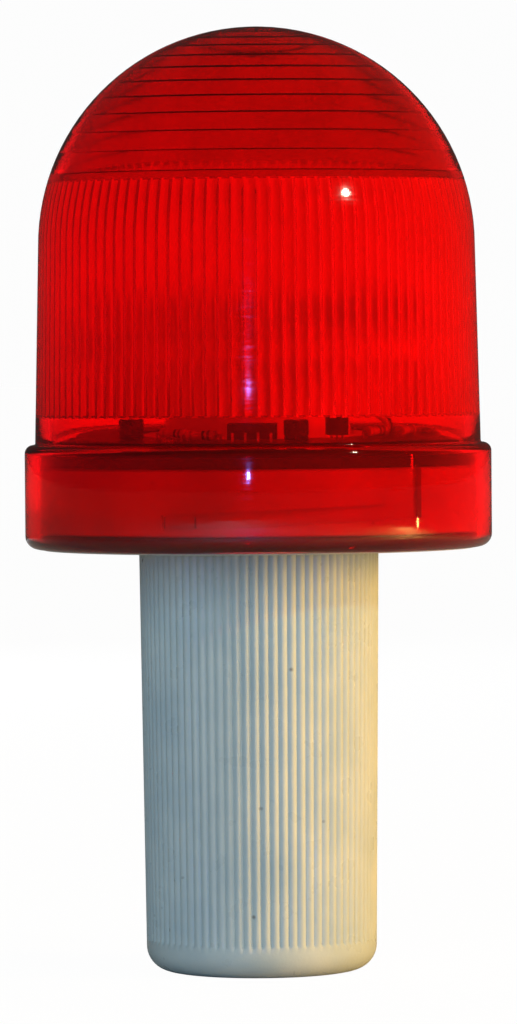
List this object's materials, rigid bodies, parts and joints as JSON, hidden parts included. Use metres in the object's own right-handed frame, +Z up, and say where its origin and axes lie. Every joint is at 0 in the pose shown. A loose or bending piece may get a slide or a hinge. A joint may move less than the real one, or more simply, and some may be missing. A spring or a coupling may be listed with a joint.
{
  "type": "cone-top warning lamp",
  "caption": "Battery warning lamp for the top of a traffic cone: ribbed battery tube, flange cup, flashing lamp module and a fluted red lens that turns on a bayonet.",
  "frame": {"origin": "centre of the tube's foot, on the plane it stands on", "axes": "+Z up along the lamp's axis, from the tube's foot to the top of the dome"},
  "size_m": [0.097, 0.097, 0.196],
  "materials": {
    "tube_plastic": "moulded, fine vertical ribs, light grey",
    "lens_red": "transparent red, polished outside, fluted inside",
    "carrier_plastic": "black, moulded",
    "tower_plastic": "white, moulded",
    "seal_rubber": "black, matt",
    "spring_steel": "nickel-plated wire",
    "contact_brass": "stamped strip",
    "rivet_steel": "plated",
    "screw_steel": "zinc-plated",
    "board_green": "green solder mask over glass-fibre board",
    "board_white": "white solder mask over glass-fibre board",
    "capacitor_sleeve": "shrunk sleeve",
    "resistor_lacquer": "lacquered, plain bands",
    "chip_resin": "moulded epoxy, satin",
    "lead_tin": "tinned",
    "led_resin": "cast red epoxy, clear",
    "photocell_face": "coated ceramic disc",
    "wire_red": "insulated",
    "wire_black": "insulated",
    "wire_yellow": "insulated",
    "wire_blue": "insulated",
    "cell_steel": null,
    "cell_sleeve": "shrunk printed film, plain"
  },
  "bodies": {
    "handle": {"battery_tube": "tube_plastic", "flange_oring": "seal_rubber", "battery_spring": "spring_steel", "negative_strip": "contact_brass", "strip_rivet": "rivet_steel"},
    "lamp_module": {"carrier_plate": "carrier_plastic", "contact_ring": "contact_brass", "lamp_tower": "tower_plastic", "tower_screws": "screw_steel", "control_board": "board_green", "board_screws": "screw_steel", "capacitor_1": "capacitor_sleeve", "capacitor_2": "capacitor_sleeve", "resistors": "resistor_lacquer", "resistor_leads": "lead_tin", "flasher_ic": "chip_resin", "ic_pins": "lead_tin", "transistor": "chip_resin", "transistor_legs": "lead_tin", "led_board": "board_white", "led_board_screws": "screw_steel", "led_leads": "lead_tin", "photocell": "photocell_face", "photocell_legs": "lead_tin", "positive_contact": "contact_brass", "contact_rivet": "rivet_steel", "wire_positive": "wire_red", "wire_negative": "wire_black", "wire_led_a": "wire_yellow", "wire_led_b": "wire_blue", "cell_can_lower": "cell_steel", "cell_can_upper": "cell_steel", "cell_jacket_lower": "cell_sleeve", "cell_jacket_upper": "cell_sleeve", "led_1": "led_resin", "led_2": "led_resin", "led_3": "led_resin", "led_4": "led_resin", "led_5": "led_resin", "led_6": "led_resin"},
    "lens": {"lens": "lens_red"}
  },
  "joints": [
    {"name": "module_lift", "type": "slide", "parent": "handle", "child": "lamp_module", "axis": [0, 0, 1], "range_m": [0, 0.0018], "deforming": ["battery_spring"]},
    {"name": "lens_turn", "type": "hinge", "parent": "lamp_module", "child": "lens", "pos_m": [0, 0, 0.1], "axis": [0, 0, 1], "range_deg": [0, 60]}
  ],
  "couplings": [
    {"joint": "module_lift", "follows": "lens_turn", "m_per_rad": 0.0017189}
  ]
}
